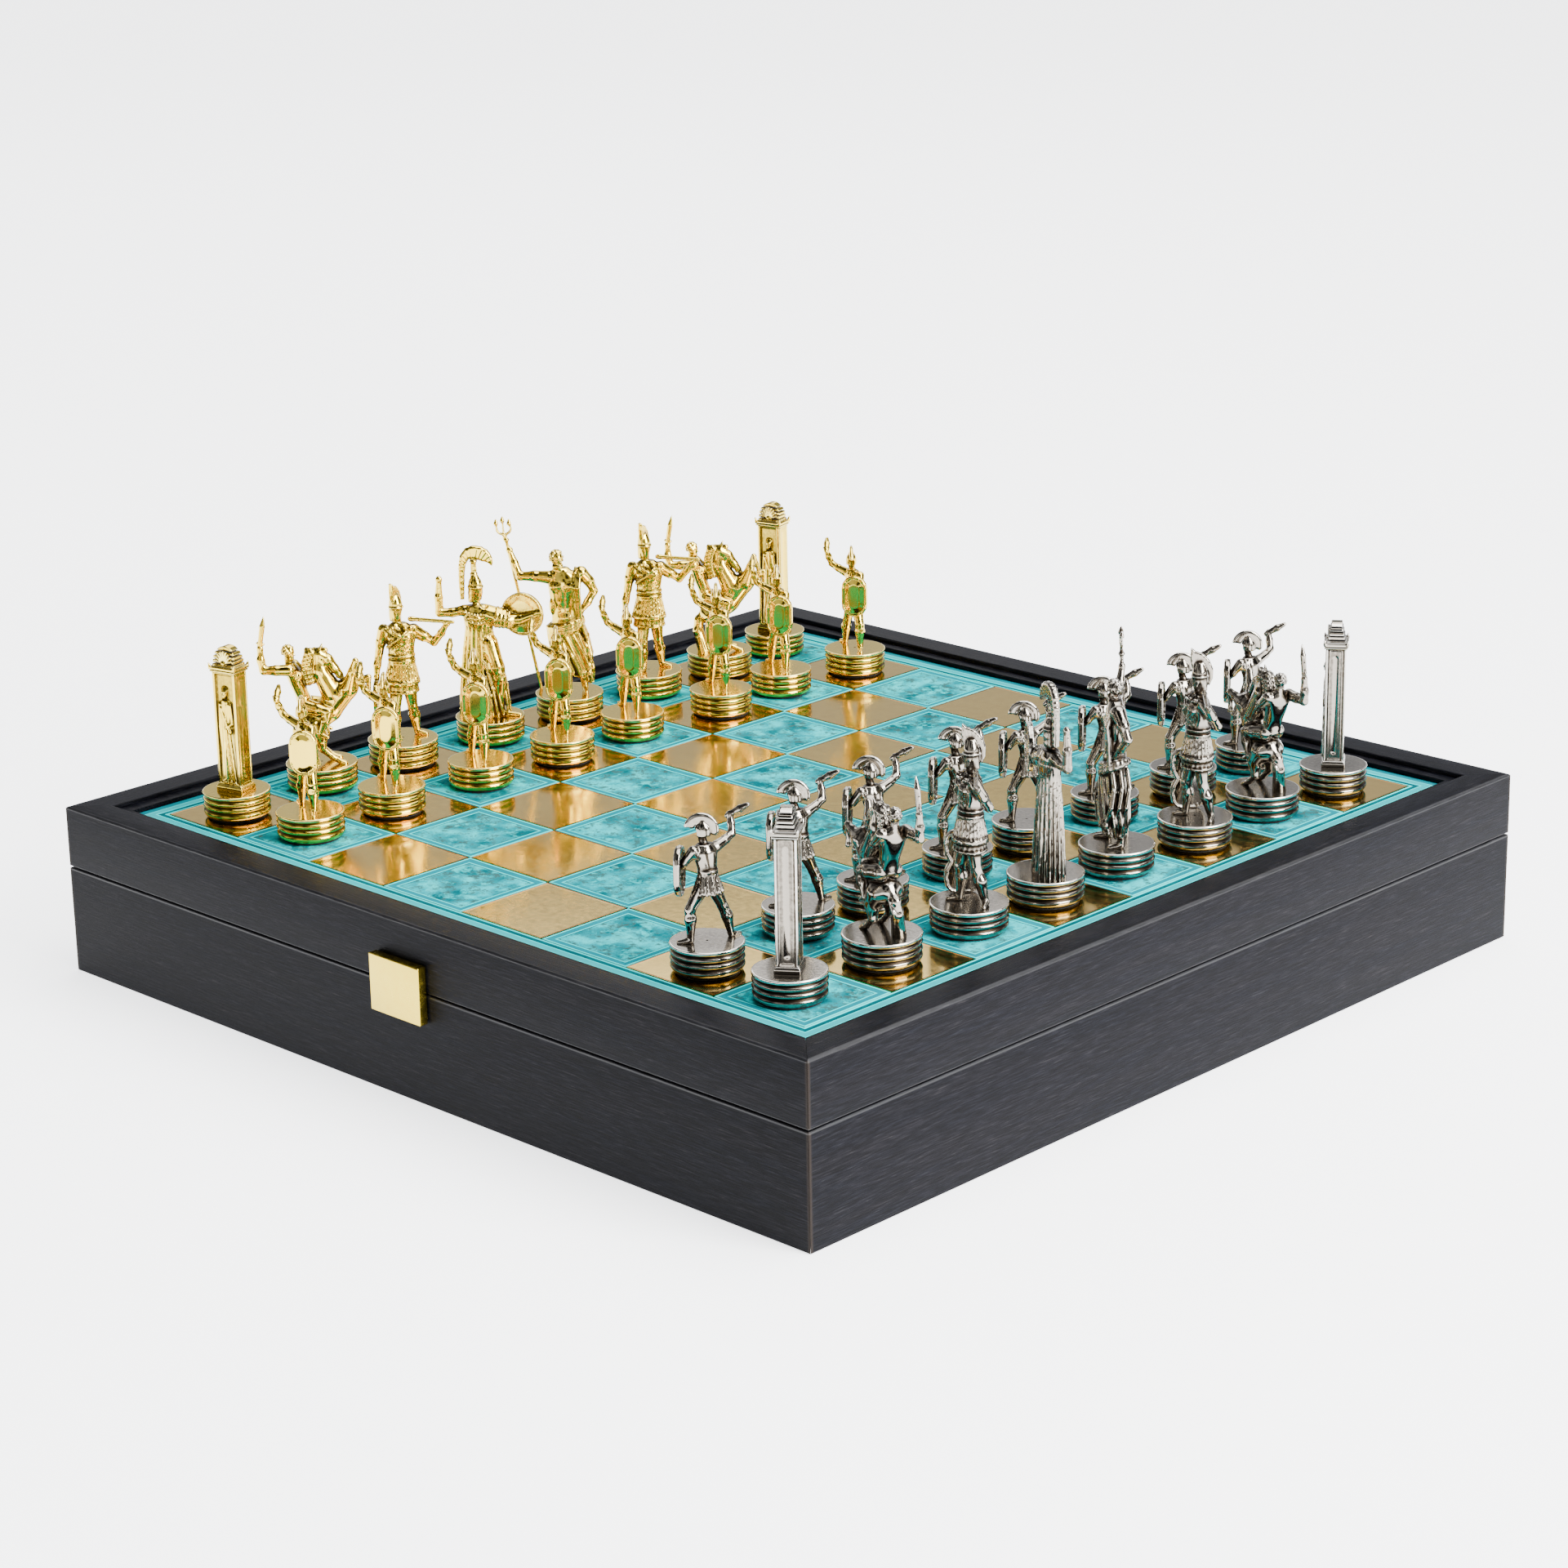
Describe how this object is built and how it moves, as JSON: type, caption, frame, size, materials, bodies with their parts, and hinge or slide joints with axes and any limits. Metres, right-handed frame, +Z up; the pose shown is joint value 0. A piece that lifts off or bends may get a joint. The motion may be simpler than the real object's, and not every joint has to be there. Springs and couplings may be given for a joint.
{
  "type": "chess set with storage case",
  "caption": "Metal chess board let into the lid of a flat square storage case, with a hinged lid, a front clasp and cast figures in two metals set up for play.",
  "frame": {"origin": "centre of the case's underside, where it stands on the table", "axes": "+Z up, the front with the clasp faces -Y, the hinges are at +Y, the gold army stands on the -X side"},
  "size_m": [0.34, 0.3479, 0.126],
  "materials": {
    "case_wrap": "fibreboard walls wrapped in a near-black sheet with a fine wood grain, satin",
    "lining": "black felt",
    "board_metal": "polished brass squares alternating with turquoise patina squares",
    "gold_casting": "cast zinc alloy with a bright gold plating, felt under the foot",
    "silver_casting": "cast zinc alloy with an antique nickel plating, dark in the recesses, felt under the foot",
    "fittings_brass": "polished brass plating",
    "magnet_steel": "nickel plated"
  },
  "bodies": {
    "base": {"base_floor": "case_wrap", "base_lining": "lining", "base_wall_back": "case_wrap", "base_wall_front": "case_wrap", "base_wall_left": "case_wrap", "base_wall_right": "case_wrap", "clasp_strike": "magnet_steel", "compartment_divider": "lining", "hinge_base_screws": "fittings_brass", "left_hinge_base_leaf": "fittings_brass", "left_hinge_pin": "fittings_brass", "right_hinge_base_leaf": "fittings_brass", "right_hinge_pin": "fittings_brass"},
    "lid": {"lid_wall_front": "case_wrap", "lid_wall_back": "case_wrap", "lid_wall_left": "case_wrap", "lid_wall_right": "case_wrap", "lid_panel": "case_wrap", "lid_lining": "lining", "board_plate": "board_metal", "board_moulding": "case_wrap", "left_hinge_lid_leaf": "fittings_brass", "right_hinge_lid_leaf": "fittings_brass", "hinge_lid_screws": "fittings_brass", "clasp_plate": "fittings_brass", "clasp_backing": "fittings_brass", "clasp_pins": "fittings_brass", "clasp_magnet": "magnet_steel"},
    "gold_bishop_1": {"gold_bishop_1": "gold_casting"},
    "gold_bishop_2": {"gold_bishop_2": "gold_casting"},
    "gold_king": {"gold_king": "gold_casting"},
    "gold_knight_1": {"gold_knight_1": "gold_casting"},
    "gold_knight_2": {"gold_knight_2": "gold_casting"},
    "gold_pawn_1": {"gold_pawn_1": "gold_casting"},
    "gold_pawn_2": {"gold_pawn_2": "gold_casting"},
    "gold_pawn_3": {"gold_pawn_3": "gold_casting"},
    "gold_pawn_4": {"gold_pawn_4": "gold_casting"},
    "gold_pawn_5": {"gold_pawn_5": "gold_casting"},
    "gold_pawn_6": {"gold_pawn_6": "gold_casting"},
    "gold_pawn_7": {"gold_pawn_7": "gold_casting"},
    "gold_pawn_8": {"gold_pawn_8": "gold_casting"},
    "gold_queen": {"gold_queen": "gold_casting"},
    "gold_rook_1": {"gold_rook_1": "gold_casting"},
    "gold_rook_2": {"gold_rook_2": "gold_casting"},
    "silver_bishop_1": {"silver_bishop_1": "silver_casting"},
    "silver_bishop_2": {"silver_bishop_2": "silver_casting"},
    "silver_king": {"silver_king": "silver_casting"},
    "silver_knight_1": {"silver_knight_1": "silver_casting"},
    "silver_knight_2": {"silver_knight_2": "silver_casting"},
    "silver_pawn_1": {"silver_pawn_1": "silver_casting"},
    "silver_pawn_2": {"silver_pawn_2": "silver_casting"},
    "silver_pawn_3": {"silver_pawn_3": "silver_casting"},
    "silver_pawn_4": {"silver_pawn_4": "silver_casting"},
    "silver_pawn_5": {"silver_pawn_5": "silver_casting"},
    "silver_pawn_6": {"silver_pawn_6": "silver_casting"},
    "silver_pawn_7": {"silver_pawn_7": "silver_casting"},
    "silver_pawn_8": {"silver_pawn_8": "silver_casting"},
    "silver_queen": {"silver_queen": "silver_casting"},
    "silver_rook_1": {"silver_rook_1": "silver_casting"},
    "silver_rook_2": {"silver_rook_2": "silver_casting"}
  },
  "joints": [
    {"name": "lid_hinge", "type": "hinge", "parent": "base", "child": "lid", "pos_m": [0, 0.1723, 0.0368], "axis": [-1, 0, 0], "range_deg": [0, 95]},
    {"name": "gold_bishop_1_lift", "type": "slide", "parent": "lid", "child": "gold_bishop_1", "axis": [0, 0, 1], "range_m": [0, 0.08]},
    {"name": "gold_bishop_2_lift", "type": "slide", "parent": "lid", "child": "gold_bishop_2", "axis": [0, 0, 1], "range_m": [0, 0.08]},
    {"name": "gold_king_lift", "type": "slide", "parent": "lid", "child": "gold_king", "axis": [0, 0, 1], "range_m": [0, 0.08]},
    {"name": "gold_knight_1_lift", "type": "slide", "parent": "lid", "child": "gold_knight_1", "axis": [0, 0, 1], "range_m": [0, 0.08]},
    {"name": "gold_knight_2_lift", "type": "slide", "parent": "lid", "child": "gold_knight_2", "axis": [0, 0, 1], "range_m": [0, 0.08]},
    {"name": "gold_pawn_1_lift", "type": "slide", "parent": "lid", "child": "gold_pawn_1", "axis": [0, 0, 1], "range_m": [0, 0.08]},
    {"name": "gold_pawn_2_lift", "type": "slide", "parent": "lid", "child": "gold_pawn_2", "axis": [0, 0, 1], "range_m": [0, 0.08]},
    {"name": "gold_pawn_3_lift", "type": "slide", "parent": "lid", "child": "gold_pawn_3", "axis": [0, 0, 1], "range_m": [0, 0.08]},
    {"name": "gold_pawn_4_lift", "type": "slide", "parent": "lid", "child": "gold_pawn_4", "axis": [0, 0, 1], "range_m": [0, 0.08]},
    {"name": "gold_pawn_5_lift", "type": "slide", "parent": "lid", "child": "gold_pawn_5", "axis": [0, 0, 1], "range_m": [0, 0.08]},
    {"name": "gold_pawn_6_lift", "type": "slide", "parent": "lid", "child": "gold_pawn_6", "axis": [0, 0, 1], "range_m": [0, 0.08]},
    {"name": "gold_pawn_7_lift", "type": "slide", "parent": "lid", "child": "gold_pawn_7", "axis": [0, 0, 1], "range_m": [0, 0.08]},
    {"name": "gold_pawn_8_lift", "type": "slide", "parent": "lid", "child": "gold_pawn_8", "axis": [0, 0, 1], "range_m": [0, 0.08]},
    {"name": "gold_queen_lift", "type": "slide", "parent": "lid", "child": "gold_queen", "axis": [0, 0, 1], "range_m": [0, 0.08]},
    {"name": "gold_rook_1_lift", "type": "slide", "parent": "lid", "child": "gold_rook_1", "axis": [0, 0, 1], "range_m": [0, 0.08]},
    {"name": "gold_rook_2_lift", "type": "slide", "parent": "lid", "child": "gold_rook_2", "axis": [0, 0, 1], "range_m": [0, 0.08]},
    {"name": "silver_bishop_1_lift", "type": "slide", "parent": "lid", "child": "silver_bishop_1", "axis": [0, 0, 1], "range_m": [0, 0.08]},
    {"name": "silver_bishop_2_lift", "type": "slide", "parent": "lid", "child": "silver_bishop_2", "axis": [0, 0, 1], "range_m": [0, 0.08]},
    {"name": "silver_king_lift", "type": "slide", "parent": "lid", "child": "silver_king", "axis": [0, 0, 1], "range_m": [0, 0.08]},
    {"name": "silver_knight_1_lift", "type": "slide", "parent": "lid", "child": "silver_knight_1", "axis": [0, 0, 1], "range_m": [0, 0.08]},
    {"name": "silver_knight_2_lift", "type": "slide", "parent": "lid", "child": "silver_knight_2", "axis": [0, 0, 1], "range_m": [0, 0.08]},
    {"name": "silver_pawn_1_lift", "type": "slide", "parent": "lid", "child": "silver_pawn_1", "axis": [0, 0, 1], "range_m": [0, 0.08]},
    {"name": "silver_pawn_2_lift", "type": "slide", "parent": "lid", "child": "silver_pawn_2", "axis": [0, 0, 1], "range_m": [0, 0.08]},
    {"name": "silver_pawn_3_lift", "type": "slide", "parent": "lid", "child": "silver_pawn_3", "axis": [0, 0, 1], "range_m": [0, 0.08]},
    {"name": "silver_pawn_4_lift", "type": "slide", "parent": "lid", "child": "silver_pawn_4", "axis": [0, 0, 1], "range_m": [0, 0.08]},
    {"name": "silver_pawn_5_lift", "type": "slide", "parent": "lid", "child": "silver_pawn_5", "axis": [0, 0, 1], "range_m": [0, 0.08]},
    {"name": "silver_pawn_6_lift", "type": "slide", "parent": "lid", "child": "silver_pawn_6", "axis": [0, 0, 1], "range_m": [0, 0.08]},
    {"name": "silver_pawn_7_lift", "type": "slide", "parent": "lid", "child": "silver_pawn_7", "axis": [0, 0, 1], "range_m": [0, 0.08]},
    {"name": "silver_pawn_8_lift", "type": "slide", "parent": "lid", "child": "silver_pawn_8", "axis": [0, 0, 1], "range_m": [0, 0.08]},
    {"name": "silver_queen_lift", "type": "slide", "parent": "lid", "child": "silver_queen", "axis": [0, 0, 1], "range_m": [0, 0.08]},
    {"name": "silver_rook_1_lift", "type": "slide", "parent": "lid", "child": "silver_rook_1", "axis": [0, 0, 1], "range_m": [0, 0.08]},
    {"name": "silver_rook_2_lift", "type": "slide", "parent": "lid", "child": "silver_rook_2", "axis": [0, 0, 1], "range_m": [0, 0.08]}
  ]
}
